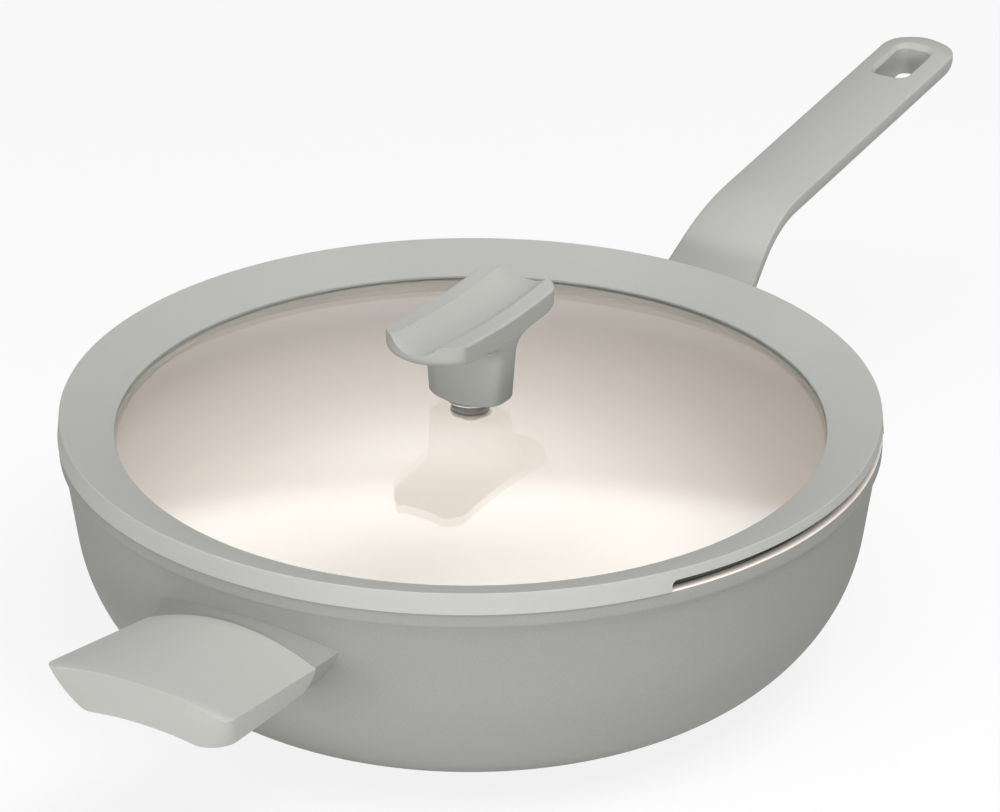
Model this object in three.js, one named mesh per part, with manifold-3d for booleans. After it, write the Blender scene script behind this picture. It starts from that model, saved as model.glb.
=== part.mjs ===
// Deep frying pan with a long handle, a helper handle and a glass lid in a silicone rim.
// Millimetres, +Z up. The origin is the centre of the flat base, the long handle points along +X.
import * as THREE from 'three';
import { mergeVertices } from 'three/addons/utils/BufferGeometryUtils.js';
import Module from 'manifold-3d';

const wasm = await Module();
wasm.setup();

const degrees = Math.PI / 180;

// Pan body
const rimRadius = 145.3;
const panHeight = 88.0;
const rimBandHeight = 5.6;
const rimBandStep = 1.4;
const rimEdgeRound = 0.8;
const wallDraft = 8.2 * degrees;
const wallThickness = 3.5;
const heelRadius = 62.0;
const floorThickness = 6.0;
const baseRelief = 0.5;

// Steel plate let into the base
const basePlateMargin = 6.3;
const basePlateThickness = 2.2;
const basePlateEdge = 0.6;

// Silicone rim of the lid
const lidOverhang = 0.5;
const lidBandHeight = 7.3;
const lidBandTaper = 0.7;
const lidEdgeRound = 0.9;
const lidRimWidth = 20.0;
const rimFall = 7.0;
const rimLipEdge = 0.7;
const rimLowerLip = 1.8;
const skirtDepth = 12.8;
const skirtThickness = 2.5;
const skirtClearance = 1.0;
const slotHalfSpan = 29.5 * degrees;
const slotHeight = 3.4;
const slitCount = 7;
const slitWidth = 5.0;

// Glass
const glassThickness = 4.0;
const glassRise = 10.2;
const glassBite = 4.8;
const glassHoleRadius = 4.6;

// Knob and the stack that clamps it to the glass
const knobLength = 75.8;
const knobWidth = 32.8;
const knobHeight = 31.6;
const knobSideHeight = 5.9;
const knobCrown = 0.5;
const knobEndRadius = 19.4;
const knobCorner = 3.0;
const knobGrooveHalfWidth = 10.0;
const knobGrooveDepth = 4.0;
const knobEndRise = 2.5;
const stemLength = 21.6;
const stemWidth = 30.0;
const stemSpread = 0.5;
const stemWiden = 1.2;
const stemBulge = 1.093;
const stemTopBulge = 1.46;
const knobUnderslope = 1.2;
const knobFillet = 7.0;
const eyeletFlangeRadius = 8.4;
const eyeletFlangeThickness = 0.8;
const eyeletWall = 1.6;
const gasketRadius = 7.8;
const gasketThickness = 0.9;
const lowerWasherRadius = 6.8;
const lowerWasherThickness = 1.2;
const steelWasherRadius = 7.4;
const steelWasherThickness = 1.0;
const knobScrewRadius = 2.4;
const knobScrewHeadRadius = 4.4;
const knobScrewHeadHeight = 2.5;
const insertWall = 1.2;
const insertLength = 14.0;
const screwEngagement = 11.0;

// Long handle, measured along the line of its side edges and out from the pan's rim
const handleTipOut = 186.0;
const handleHeightAtBend = 101.25;
const handleBendOut = 42.0;
const handleSlope = 7.84 * degrees;
const handleRootSlope = 37.3 * degrees;
const handleBendRadius = 64.6;
const handleRootOut = 11.7;
const handleHalfWidth = 15.1;
const handleRootHalfWidth = 20.2;
const handleCrest = 2.2;
const handleBelly = 11.4;
const handleTipLength = 12.0;
const hangHoleLength = 28.0;
const hangHoleWidth = 18.2;
const hangHoleChamfer = 2.0;
const hangHoleCorner = 6.0;
const hangHoleToTip = 7.7;
const longTangLength = 24.0;
const longTangWidth = 24.0;
const longTangThickness = 5.0;
const longTangDrop = 3.4;
const longScrewFromRoot = 12.0;

// Helper handle, measured out from the pan's rim
const helperRootOut = 2.7;
const helperEndOut = 57.2;
const helperRootHalfWidth = 34.4;
const helperEndHalfWidth = 37.4;
const helperRootEdgeZ = 66.4;
const helperEndEdgeZ = 71.5;
const helperRootCrest = 7.6;
const helperEndCrest = 4.3;
const helperRootDepth = 11.5;
const helperEndDepth = 14.3;
const helperUndercut = 5.9;
const helperEndUndercut = 3.0;
const helperHollow = 1.6;
const helperCorner = 3.5;
const helperFootCorner = 10.0;
const helperTangLength = 30.0;
const helperTangWidth = 46.0;
const helperTangThickness = 5.0;
const helperScrewSpacing = 28.0;
const helperScrewFromRoot = 16.0;
const neckInset = 0.5;
const neckFlare = 3.5;
const neckStraight = 3.0;
const neckRun = 9.5;
const neckLift = 1.2;

// Screws that hold the grips on their brackets
const gripScrewRadius = 2.5;
const gripScrewHeadRadius = 4.6;
const gripScrewHeadHeight = 2.4;
const gripScrewBite = 2.4;

// Gap left between pieces that touch
const gap = 0.3;
const turns = 64;

// Geometry helpers

const at = (r, z) => new THREE.Vector2(r, z);
const polar = (x, z, radius, angle) => at(x + radius * Math.cos(angle), z + radius * Math.sin(angle));

function arc(x, z, radius, from, to, steps) {
  const points = [];
  for (let i = 0; i <= steps; i += 1) {
    points.push(polar(x, z, radius, from + (to - from) * i / steps));
  }
  return points;
}

function signedVolume(positions, triangles) {
  const corners = [new THREE.Vector3(), new THREE.Vector3(), new THREE.Vector3()];
  let six = 0;
  for (let i = 0; i < triangles.length; i += 3) {
    corners.forEach((corner, k) => corner.fromArray(positions, triangles[i + k] * 3));
    six += corners[0].dot(corners[1].cross(corners[2]));
  }
  return six / 6;
}

// A closed geometry as a solid, with shared corners and faces pointing out
function solid(geometry) {
  const bare = new THREE.BufferGeometry();
  bare.setAttribute('position', geometry.getAttribute('position'));
  bare.setIndex(geometry.getIndex());
  const merged = mergeVertices(bare, 1e-4);
  const positions = merged.getAttribute('position').array;
  const source = merged.getIndex().array;
  const triangles = [];
  for (let i = 0; i < source.length; i += 3) {
    const [a, b, c] = [source[i], source[i + 1], source[i + 2]];
    if (a !== b && b !== c && c !== a) {
      triangles.push(a, b, c);
    }
  }
  if (signedVolume(positions, triangles) < 0) {
    for (let i = 0; i < triangles.length; i += 3) {
      [triangles[i], triangles[i + 1]] = [triangles[i + 1], triangles[i]];
    }
  }
  return new wasm.Manifold(new wasm.Mesh({
    numProp: 3,
    vertProperties: new Float32Array(positions),
    triVerts: new Uint32Array(triangles),
  }));
}

// A profile of radius and height turned about +Z; it closes on itself or ends on the axis
function turned(profile, segments = turns) {
  const closed = [...profile];
  if (profile[0].x > 0 || profile[profile.length - 1].x > 0) {
    closed.push(profile[0].clone());
  }
  const geometry = new THREE.LatheGeometry(closed, segments);
  geometry.rotateX(Math.PI / 2);
  return solid(geometry);
}

// A skin through rings with equal numbers of points, closed by a fan at each end
function loft(rings) {
  const count = rings[0].length;
  const positions = [];
  const index = [];
  rings.forEach((ring) => ring.forEach((point) => positions.push(point.x, point.y, point.z)));
  for (let i = 0; i < rings.length - 1; i += 1) {
    for (let k = 0; k < count; k += 1) {
      const a = i * count + k;
      const b = i * count + (k + 1) % count;
      index.push(a, b, b + count, a, b + count, a + count);
    }
  }
  [0, rings.length - 1].forEach((ringIndex, end) => {
    const middle = new THREE.Vector3();
    rings[ringIndex].forEach((point) => middle.add(point));
    middle.divideScalar(count);
    const hub = positions.length / 3;
    positions.push(middle.x, middle.y, middle.z);
    for (let k = 0; k < count; k += 1) {
      const a = ringIndex * count + k;
      const b = ringIndex * count + (k + 1) % count;
      index.push(...(end === 0 ? [b, a, hub] : [a, b, hub]));
    }
  });
  const geometry = new THREE.BufferGeometry();
  geometry.setAttribute('position', new THREE.Float32BufferAttribute(positions, 3));
  geometry.setIndex(index);
  return solid(geometry);
}

function box(length, width, height, matrix) {
  const geometry = new THREE.BoxGeometry(length, width, height);
  geometry.applyMatrix4(matrix);
  return solid(geometry);
}

function cylinder(radius, height, matrix, segments = 32) {
  const geometry = new THREE.CylinderGeometry(radius, radius, height, segments);
  geometry.rotateX(Math.PI / 2);
  geometry.applyMatrix4(matrix);
  return solid(geometry);
}

const shifted = (x, y, z) => new THREE.Matrix4().makeTranslation(x, y, z);

// Points of a rounded rectangle, in order round its outline
function roundedRectangle(length, width, corner, steps = 5) {
  const points = [];
  const signs = [[1, 1], [-1, 1], [-1, -1], [1, -1]];
  signs.forEach(([sx, sy], quarter) => {
    const start = quarter * Math.PI / 2;
    const x = sx * (length / 2 - corner);
    const y = sy * (width / 2 - corner);
    points.push(...arc(x, y, corner, start, start + Math.PI / 2, steps));
  });
  return points;
}

// Points of an oval whose power runs from an ellipse at 2 to a rectangle
function oval(halfLength, halfWidth, power, steps) {
  const points = [];
  for (let i = 0; i < steps; i += 1) {
    const angle = 2 * Math.PI * i / steps;
    const c = Math.cos(angle);
    const s = Math.sin(angle);
    const x = halfLength * Math.sign(c) * Math.abs(c) ** (2 / power);
    const y = halfWidth * Math.sign(s) * Math.abs(s) ** (2 / power);
    points.push(new THREE.Vector2(x, y));
  }
  return points;
}

const mix = (a, b, t) => a + (b - a) * t;

// Finished pieces and their groups

const pan = new THREE.Group();
pan.name = 'pan';
const lid = new THREE.Group();
lid.name = 'lid';

function add(group, name, body, finish) {
  const mesh = body.getMesh();
  const geometry = new THREE.BufferGeometry();
  geometry.setAttribute('position', new THREE.BufferAttribute(new Float32Array(mesh.vertProperties), 3));
  geometry.setIndex(new THREE.BufferAttribute(new Uint32Array(mesh.triVerts), 1));
  geometry.computeVertexNormals();
  const piece = new THREE.Mesh(geometry, new THREE.MeshStandardMaterial(finish));
  piece.name = name;
  group.add(piece);
}

const coatedMetal = { color: 0xa8a8a3, roughness: 0.55, metalness: 0.1 };
const softGrip = { color: 0xbfc0bb, roughness: 0.6, metalness: 0.0 };
const silicone = { color: 0xc2c3be, roughness: 0.65, metalness: 0.0 };
const clearGlass = { color: 0xf2f4f2, roughness: 0.05, metalness: 0.0 };
const steel = { color: 0xc9cacb, roughness: 0.3, metalness: 1.0 };
const brass = { color: 0xb8975a, roughness: 0.35, metalness: 1.0 };

// Pan body: wall, heel and floor are parallel runs of the same outline

const wallFootZ = panHeight - rimBandHeight;
const wallFootRadius = rimRadius - rimBandStep;

// Outline of one side of the wall, from the floor up, moved in by an offset
function wallOutline(offset, floorZ, heel, topZ, steps) {
  const lean = Math.tan(wallDraft);
  const lineRadius = (z) => wallFootRadius - (wallFootZ - z) * lean - offset / Math.cos(wallDraft);
  const heelZ = floorZ + heel;
  const tangentZ = heelZ - heel * Math.sin(wallDraft);
  const heelX = lineRadius(tangentZ) - heel * Math.cos(wallDraft);
  const startAngle = -Math.PI / 2;
  const points = arc(heelX, heelZ, heel, startAngle, -wallDraft, steps);
  points.push(at(lineRadius(topZ), topZ));
  return points;
}

const outerWall = wallOutline(0, 0, heelRadius, wallFootZ - rimBandStep, 12);
const innerHeelRadius = heelRadius - floorThickness - 1;
const innerWall = wallOutline(wallThickness, floorThickness, innerHeelRadius, panHeight - rimEdgeRound, 10);
const panInnerRadius = (z) => {
  const foot = innerWall[innerWall.length - 1];
  return foot.x - (foot.y - z) * Math.tan(wallDraft);
};

const basePlateRadius = outerWall[0].x - basePlateMargin;
const recessRadius = basePlateRadius + gap;
const recessZ = basePlateThickness + gap;
const liftedWall = outerWall.filter((point) => point.y > baseRelief);
const heelCentreX = outerWall[0].x;
const reliefRadius = heelCentreX + Math.sqrt(heelRadius ** 2 - (heelRadius - baseRelief) ** 2);

const panProfile = [
  at(0, recessZ),
  at(recessRadius, recessZ),
  at(recessRadius, baseRelief),
  at(reliefRadius, baseRelief),
  ...liftedWall,
  at(rimRadius - rimBandStep / 2, wallFootZ - rimBandStep / 4),
  at(rimRadius - rimBandStep / 8, wallFootZ + rimBandStep / 4),
  at(rimRadius, panHeight - rimEdgeRound),
  at(rimRadius - rimEdgeRound, panHeight),
  at(panInnerRadius(panHeight) + rimEdgeRound, panHeight),
  ...[...innerWall].reverse(),
  at(0, floorThickness),
];
const panBody = turned(panProfile);
add(pan, 'pan_body', panBody, coatedMetal);

// Space taken by the pan's outside, used to fit the brackets to the wall
const panOutside = turned([
  at(0, baseRelief - gap),
  at(reliefRadius, baseRelief - gap),
  ...liftedWall.map((point) => at(point.x + gap, point.y)),
  at(rimRadius + gap, wallFootZ - rimBandStep / 2),
  at(rimRadius + gap, panHeight + gap),
  at(0, panHeight + gap),
]);

const basePlate = turned([
  at(0, 0),
  at(basePlateRadius - basePlateEdge, 0),
  at(basePlateRadius, basePlateEdge),
  at(basePlateRadius, basePlateThickness),
  at(0, basePlateThickness),
]);
add(pan, 'induction_base_plate', basePlate, steel);

// Screw: a domed head on a plain shank, along +Z, with the head's seat at the origin
const screwSides = 20;
function screw(shankRadius, headRadius, headHeight, length) {
  const socketSides = 6;
  const socketRadius = headRadius * 0.5;
  const body = turned([
    at(0, -headHeight),
    at(headRadius * 0.6, -headHeight),
    at(headRadius * 0.95, -headHeight * 0.5),
    at(headRadius, 0),
    at(shankRadius, 0),
    at(shankRadius, length - shankRadius / 2),
    at(shankRadius / 2, length),
    at(0, length),
  ], screwSides);
  return body.subtract(cylinder(socketRadius, headHeight, shifted(0, 0, -headHeight), socketSides));
}

// Long handle

// Centre line of the side edges, from the root to the tip: a rise, a bend and a straight run
const handleRootX = rimRadius + handleRootOut;
const handleBendX = rimRadius + handleBendOut;
const handleReach = rimRadius + handleTipOut;
const bendTurn = handleRootSlope - handleSlope;
const bendTangent = handleBendRadius * Math.tan(bendTurn / 2);
const along = (slope, distance) => at(
  handleBendX + distance * Math.cos(slope),
  handleHeightAtBend + distance * Math.sin(slope),
);
const rootDistance = (handleBendX - handleRootX) / Math.cos(handleRootSlope);
const tipDistance = (handleReach - handleBendX) / Math.cos(handleSlope);
const bendLength = handleBendRadius * bendTurn;
const bendStart = rootDistance - bendTangent;
const bendEnd = bendStart + bendLength;
const handleLength = bendEnd + tipDistance - bendTangent;
const bendCentre = polar(
  along(handleSlope, bendTangent).x,
  along(handleSlope, bendTangent).y,
  handleBendRadius,
  handleSlope - Math.PI / 2,
);

// Place and slope at a distance from the root
function handleStation(distance) {
  if (distance <= bendStart) {
    return { point: along(handleRootSlope, distance - rootDistance), slope: handleRootSlope };
  }
  if (distance >= bendEnd) {
    return { point: along(handleSlope, bendTangent + distance - bendEnd), slope: handleSlope };
  }
  const slope = handleRootSlope - (distance - bendStart) / handleBendRadius;
  return { point: polar(bendCentre.x, bendCentre.y, handleBendRadius, slope + Math.PI / 2), slope };
}

// Local frame there: x along the handle, y across it, z up out of its top
function handleFrame(distance) {
  const { point, slope } = handleStation(distance);
  const forward = new THREE.Vector3(Math.cos(slope), 0, Math.sin(slope));
  const across = new THREE.Vector3(0, 1, 0);
  const up = new THREE.Vector3(-Math.sin(slope), 0, Math.cos(slope));
  return new THREE.Matrix4().makeBasis(forward, across, up).setPosition(point.x, 0, point.y);
}

// Cross-section: a crowned top over a full belly
const crownSteps = 8;
const bellySteps = 12;
const bellyPower = 2.5;
function handleSection(halfWidth, crest, belly) {
  const points = [];
  for (let i = 0; i < crownSteps; i += 1) {
    const y = mix(1, -1, i / crownSteps);
    points.push(at(y * halfWidth, crest * (1 - y * y)));
  }
  for (let i = 0; i < bellySteps; i += 1) {
    const angle = Math.PI * (1 + i / bellySteps);
    const c = Math.cos(angle);
    const s = Math.sin(angle);
    const y = halfWidth * Math.sign(c) * Math.abs(c) ** (2 / bellyPower);
    points.push(at(y, -belly * Math.abs(s) ** (2 / bellyPower)));
  }
  return points;
}

const taperEnd = bendEnd;
const tipPower = 2.4;
const tipThinning = 0.55;
function handleRing(distance) {
  const widen = Math.max(0, 1 - distance / taperEnd);
  const fromTip = Math.max(0, (distance - (handleLength - handleTipLength)) / handleTipLength);
  const tip = Math.max(0, 1 - fromTip ** tipPower) ** (1 / tipPower);
  const halfWidth = mix(handleHalfWidth, handleRootHalfWidth, widen ** 1.5) * tip;
  const thickness = 1 - tipThinning * (1 - tip);
  const frame = handleFrame(distance);
  const section = handleSection(halfWidth, handleCrest * tip, handleBelly * thickness);
  return section.map(({ x, y }) => new THREE.Vector3(0, x, y).applyMatrix4(frame));
}

const bendSteps = 7;
const tipSteps = [0, 0.35, 0.6, 0.8, 0.92, 0.985];
const tipStart = handleLength - handleTipLength;
const gripStations = [
  0,
  bendStart / 2,
  ...Array.from({ length: bendSteps + 1 }, (_, i) => mix(bendStart, bendEnd, i / bendSteps)),
  mix(bendEnd, tipStart, 1 / 2),
  ...tipSteps.map((share) => tipStart + handleTipLength * share),
];

const holeDepth = 2 * handleBelly;
const holeMiddle = handleLength - hangHoleToTip - hangHoleLength / 2;
function hangHoleRing(height, spread) {
  const length = hangHoleLength + 2 * spread;
  const width = hangHoleWidth + 2 * spread;
  const outline = roundedRectangle(length, width, hangHoleCorner + spread);
  return outline.map(({ x, y }) => new THREE.Vector3(x, y, height).applyMatrix4(handleFrame(holeMiddle)));
}
const hangHole = loft([
  hangHoleRing(-holeDepth, -hangHoleChamfer),
  hangHoleRing(handleCrest - hangHoleChamfer, -hangHoleChamfer),
  hangHoleRing(handleCrest + hangHoleChamfer, hangHoleChamfer),
]);

const longTang = (clearance) => box(
  longTangLength + handleRootOut + 2 * clearance,
  longTangWidth + 2 * clearance,
  longTangThickness + 2 * clearance,
  handleFrame(0).multiply(shifted((longTangLength - handleRootOut) / 2, 0, -longTangDrop)),
);
const longScrewSeat = longTangDrop + longTangThickness / 2 + gripScrewBite;
const longScrewFrame = handleFrame(0).multiply(shifted(longScrewFromRoot, 0, -longScrewSeat));
const longScrewLength = gripScrewBite + longTangThickness;
const bracketReach = 30;

// Hole for a screw: shank clearance, and a pocket for the head that runs out through the underside
function screwHole(frame, length, pocketDepth) {
  const shankFrame = frame.clone().multiply(shifted(0, 0, length / 2));
  const shank = cylinder(gripScrewRadius + gap, length + 2 * gap, shankFrame);
  const pocketFrame = frame.clone().multiply(shifted(0, 0, gap - pocketDepth / 2));
  const pocket = cylinder(gripScrewHeadRadius + gap, pocketDepth, pocketFrame);
  return shank.add(pocket);
}

const longGrip = loft(gripStations.map(handleRing))
  .subtract(hangHole)
  .subtract(longTang(gap))
  .subtract(screwHole(longScrewFrame, longScrewLength, handleBelly));
add(pan, 'long_handle_grip', longGrip, softGrip);

// Bracket: a neck with the grip's own section, fitted to the wall, with a tang inside the grip
function longNeckRing(distance) {
  const frame = handleFrame(distance);
  const halfWidth = handleRootHalfWidth - neckInset;
  const section = handleSection(halfWidth, handleCrest - neckInset, handleBelly - neckInset);
  return section.map(({ x, y }) => new THREE.Vector3(0, x, y).applyMatrix4(frame));
}
const longBracket = loft([longNeckRing(-bracketReach), longNeckRing(-gap)])
  .subtract(panOutside)
  .add(longTang(0).subtract(panOutside))
  .subtract(cylinder(gripScrewRadius + gap, longScrewLength * 3, longScrewFrame));
add(pan, 'long_handle_bracket', longBracket, coatedMetal);

const longScrew = screw(gripScrewRadius, gripScrewHeadRadius, gripScrewHeadHeight, longScrewLength)
  .transform(longScrewFrame.toArray());
add(pan, 'long_handle_screw', longScrew, steel);

// Helper handle, along -X: sections stand across it, and its underside is drawn in all round

const helperTopSteps = 8;
const helperSideSteps = 4;
const helperBottomSteps = 6;

// The drawn-in side at a share of its run: its inset and its share of the full depth
function helperSide(t) {
  const first = 2 * t * (1 - t);
  const last = t * t;
  return { inset: first * 0.27 + last, drop: first * 0.55 + last };
}

// Closed section from the +Y edge: share of the width, crown, inset and drop at each point
function helperSection() {
  const points = [];
  for (let i = 0; i < helperTopSteps; i += 1) {
    const y = mix(1, -1, i / helperTopSteps);
    points.push({ y, crown: 1 - y * y, inset: 0, drop: 0 });
  }
  const sides = Array.from({ length: helperSideSteps }, (_, i) => helperSide(i / helperSideSteps));
  sides.forEach((side) => points.push({ y: -1, crown: 0, ...side }));
  for (let i = 0; i <= helperBottomSteps; i += 1) {
    const y = mix(-1, 1, i / helperBottomSteps);
    const { inset, drop } = helperSide(1);
    points.push({ y, crown: 0, inset, drop, hollow: 1 - y * y });
  }
  sides.slice(1).reverse().forEach((side) => points.push({ y: 1, crown: 0, ...side }));
  return points;
}

// One ring at a share of the length and a turn round the end corners, grown and lifted on the neck
const helperRootX = rimRadius + helperRootOut;
const helperRun = helperEndOut - helperRootOut;
const helperOutline = helperSection();
function helperRing(share, turn, grow = 0, lift = 0) {
  const edgeZ = mix(helperRootEdgeZ, helperEndEdgeZ, share);
  const crest = mix(helperRootCrest, helperEndCrest, share) + grow;
  const depth = mix(helperRootDepth, helperEndDepth, share) - lift;
  const halfWidth = mix(helperRootHalfWidth, helperEndHalfWidth, share) + grow;
  return helperOutline.map(({ y, crown, inset, drop, hollow = 0 }) => {
    const corner = mix(helperCorner, helperFootCorner, drop);
    const end = helperRun - helperEndUndercut * inset;
    const straight = share > 0 ? (end - corner) * share : helperRun * share;
    const x = turn > 0 ? end - corner * (1 - Math.sin(turn)) : straight;
    const half = halfWidth - helperUndercut * inset - grow * drop - corner * (1 - Math.cos(turn));
    const z = edgeZ + crest * crown - depth * drop + helperHollow * hollow;
    return new THREE.Vector3(-helperRootX - x, y * half, z);
  });
}

const helperShares = [0, 1 / 3, 2 / 3, 1];
const helperTurns = [0.25, 0.5, 0.75, 1];
const helperRings = [
  ...helperShares.map((share) => helperRing(share, 0)),
  ...helperTurns.map((share) => helperRing(1, share * Math.PI / 2)),
];

const helperTangZ = mix(helperRootEdgeZ, helperEndEdgeZ, helperTangLength / helperRun / 2);
const helperTang = (clearance) => box(
  helperTangLength + helperRootOut + 2 * clearance,
  helperTangWidth + 2 * clearance,
  helperTangThickness + 2 * clearance,
  shifted(-helperRootX - (helperTangLength - helperRootOut) / 2, 0, helperTangZ),
);
const helperScrewZ = helperTangZ - helperTangThickness / 2 - gripScrewBite;
const helperScrewLength = gripScrewBite + helperTangThickness;
const helperScrewFrames = [1, -1].map((side) => (
  shifted(-helperRootX - helperScrewFromRoot, side * helperScrewSpacing / 2, helperScrewZ)
));

let helperGrip = loft(helperRings).subtract(helperTang(gap));
const flareSteps = 4;
const neckShare = (distance) => -distance / helperRun;
const helperNeckRings = [helperRing(neckShare(gap), 0, -neckInset, neckInset)];
for (let i = 0; i <= flareSteps; i += 1) {
  const t = i / flareSteps;
  const share = neckShare(mix(neckStraight, neckRun, t));
  helperNeckRings.push(helperRing(share, 0, neckFlare * t * t - neckInset, neckInset + neckLift * t));
}
helperNeckRings.push(helperRing(neckShare(bracketReach), 0, neckFlare - neckInset, neckInset + neckLift));
let helperBracket = loft(helperNeckRings).subtract(panOutside).add(helperTang(0).subtract(panOutside));
helperScrewFrames.forEach((frame) => {
  helperGrip = helperGrip.subtract(screwHole(frame, helperScrewLength, helperEndDepth));
  helperBracket = helperBracket.subtract(cylinder(gripScrewRadius + gap, helperScrewLength * 3, frame));
});
add(pan, 'helper_handle_grip', helperGrip, softGrip);
add(pan, 'helper_handle_bracket', helperBracket, coatedMetal);
helperScrewFrames.forEach((frame, i) => {
  const fixing = screw(gripScrewRadius, gripScrewHeadRadius, gripScrewHeadHeight, helperScrewLength);
  add(pan, `helper_handle_screw_${i + 1}`, fixing.transform(frame.toArray()), steel);
});

// Lid: the silicone rim sits on the pan's rim and grips the edge of the glass

const lidSeatZ = panHeight + gap;
const lidTopZ = lidSeatZ + lidBandHeight;
const lidRadius = rimRadius + lidOverhang;
const sightRadius = lidRadius - lidRimWidth;
const sightZ = lidTopZ - rimFall;
const glassEdgeRadius = sightRadius + glassBite;
const glassSightZ = sightZ - rimLipEdge - gap;
const glassCurve = (sightRadius ** 2 + glassRise ** 2) / (2 * glassRise);
const glassTopZ = (r) => glassSightZ + glassRise - glassCurve + Math.sqrt(glassCurve ** 2 - r ** 2);
const glassUnderZ = (r) => glassTopZ(r) - glassThickness;
const glassCentreZ = glassTopZ(0);

const glassSteps = 8;
const glassRadii = Array.from({ length: glassSteps + 1 }, (_, i) => (
  mix(glassHoleRadius, glassEdgeRadius, i / glassSteps)
));
const lidGlass = turned([
  ...glassRadii.map((r) => at(r, glassUnderZ(r))),
  ...[...glassRadii].reverse().map((r) => at(r, glassTopZ(r))),
]);
add(lid, 'lid_glass', lidGlass, clearGlass);

const grooveRadius = glassEdgeRadius + gap;
const lowerLipZ = glassUnderZ(sightRadius) - gap - rimLowerLip;
const skirtFootZ = panHeight - skirtDepth;
const skirtOuter = (z) => panInnerRadius(z) - skirtClearance;
const skirtInner = skirtOuter(skirtFootZ) - skirtThickness;
const rimProfile = [
  at(lidRadius, lidSeatZ),
  at(lidRadius - lidBandTaper, lidTopZ - lidEdgeRound),
  at(lidRadius - lidBandTaper - lidEdgeRound, lidTopZ),
  at(sightRadius, sightZ),
  at(sightRadius, sightZ - rimLipEdge),
  at(grooveRadius, glassTopZ(grooveRadius) + gap),
  at(grooveRadius, glassUnderZ(grooveRadius) - gap),
  at(sightRadius, glassUnderZ(sightRadius) - gap),
  at(sightRadius, lowerLipZ),
  at(skirtInner, lowerLipZ),
  at(skirtInner, skirtFootZ),
  at(skirtOuter(skirtFootZ), skirtFootZ),
  at(skirtOuter(lidSeatZ), lidSeatZ),
];

// Pouring slots under the rim on both sides, and the strainer slits behind them
const slotInner = skirtInner - gap;
const slotOuter = lidRadius + 1;
function pourSlot(middle) {
  const shape = new THREE.Shape();
  shape.absarc(0, 0, slotOuter, middle - slotHalfSpan, middle + slotHalfSpan, false);
  shape.absarc(0, 0, slotInner, middle + slotHalfSpan, middle - slotHalfSpan, true);
  const geometry = new THREE.ExtrudeGeometry(shape, {
    depth: slotHeight + gap,
    bevelEnabled: false,
    curveSegments: 10,
  });
  geometry.translate(0, 0, lidSeatZ - gap);
  return solid(geometry);
}
const slitHeight = lidSeatZ - lowerLipZ;
function strainerSlit(angle) {
  const turn = new THREE.Matrix4().makeRotationZ(angle);
  const middle = shifted((slotInner + slotOuter) / 2, 0, lidSeatZ - slitHeight / 2);
  return box(slotOuter - slotInner, slitWidth, slitHeight, turn.multiply(middle));
}

let lidRim = turned(rimProfile);
[-Math.PI / 2, Math.PI / 2].forEach((middle) => {
  lidRim = lidRim.subtract(pourSlot(middle));
  for (let i = 0; i < slitCount; i += 1) {
    const share = (i + 0.5) / slitCount;
    lidRim = lidRim.subtract(strainerSlit(middle + mix(-slotHalfSpan, slotHalfSpan, share)));
  }
});
add(lid, 'lid_silicone_rim', lidRim, silicone);

// Stack on the axis, from the glass up: eyelet, gasket, knob

const smallTurns = 32;
const eyeletZ = glassCentreZ + gap;
const eyeletRadius = glassHoleRadius - gap;
const eyeletBore = eyeletRadius - eyeletWall;
const eyelet = turned([
  at(eyeletBore, glassUnderZ(0)),
  at(eyeletRadius, glassUnderZ(0)),
  at(eyeletRadius, eyeletZ),
  at(eyeletFlangeRadius, eyeletZ),
  at(eyeletFlangeRadius, eyeletZ + eyeletFlangeThickness / 2),
  at(eyeletFlangeRadius - eyeletFlangeThickness / 2, eyeletZ + eyeletFlangeThickness),
  at(eyeletBore, eyeletZ + eyeletFlangeThickness),
], smallTurns);
add(lid, 'vent_eyelet', eyelet, steel);

const ring = (inner, outer, low, height) => turned([
  at(inner, low),
  at(outer, low),
  at(outer, low + height),
  at(inner, low + height),
], smallTurns);

const gasketZ = eyeletZ + eyeletFlangeThickness + gap;
add(lid, 'knob_gasket', ring(eyeletBore, gasketRadius, gasketZ, gasketThickness), silicone);

const knobZ = gasketZ + gasketThickness + gap;
const knobTopZ = knobZ + knobHeight;
const plateZ = knobTopZ - knobCrown - knobSideHeight;
const insertBore = knobScrewRadius + gap;
const insertRadius = insertBore + insertWall;
const knobSides = 48;
const plateHalf = knobLength / 2;
const widthHalf = knobWidth / 2;

const lifted = (outline, z, rise) => outline.map(
  ({ x, y }) => new THREE.Vector3(x, y, z + rise * (x / plateHalf) ** 2),
);

// Plate outline: round ends, softened corners and straight sides, from the +X end round to the left
function plateRing(z, halfLength, inset = 0, rise = 0) {
  const half = widthHalf - inset;
  const end = halfLength - knobEndRadius;
  const inside = half - knobCorner;
  const reach = Math.sqrt((knobEndRadius - knobCorner) ** 2 - inside ** 2);
  const turn = Math.atan2(inside, reach);
  const quarter = [];
  for (let i = 0; i < 6; i += 1) {
    const angle = turn * i / 6;
    quarter.push([end + knobEndRadius * Math.cos(angle), knobEndRadius * Math.sin(angle)]);
  }
  for (let i = 0; i < 5; i += 1) {
    const angle = mix(turn, Math.PI / 2, i / 4);
    quarter.push([end + reach + knobCorner * Math.cos(angle), inside + knobCorner * Math.sin(angle)]);
  }
  quarter.push([(end + reach) / 2, half]);
  const back = [[0, half], ...quarter.slice(1).reverse()];
  const left = [...quarter, ...back.map(([x, y]) => [-x, y])];
  const outline = [...left, ...left.map(([x, y]) => [-x, -y])];
  return lifted(outline.map(([x, y]) => new THREE.Vector2(x, y)), z, rise);
}

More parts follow.
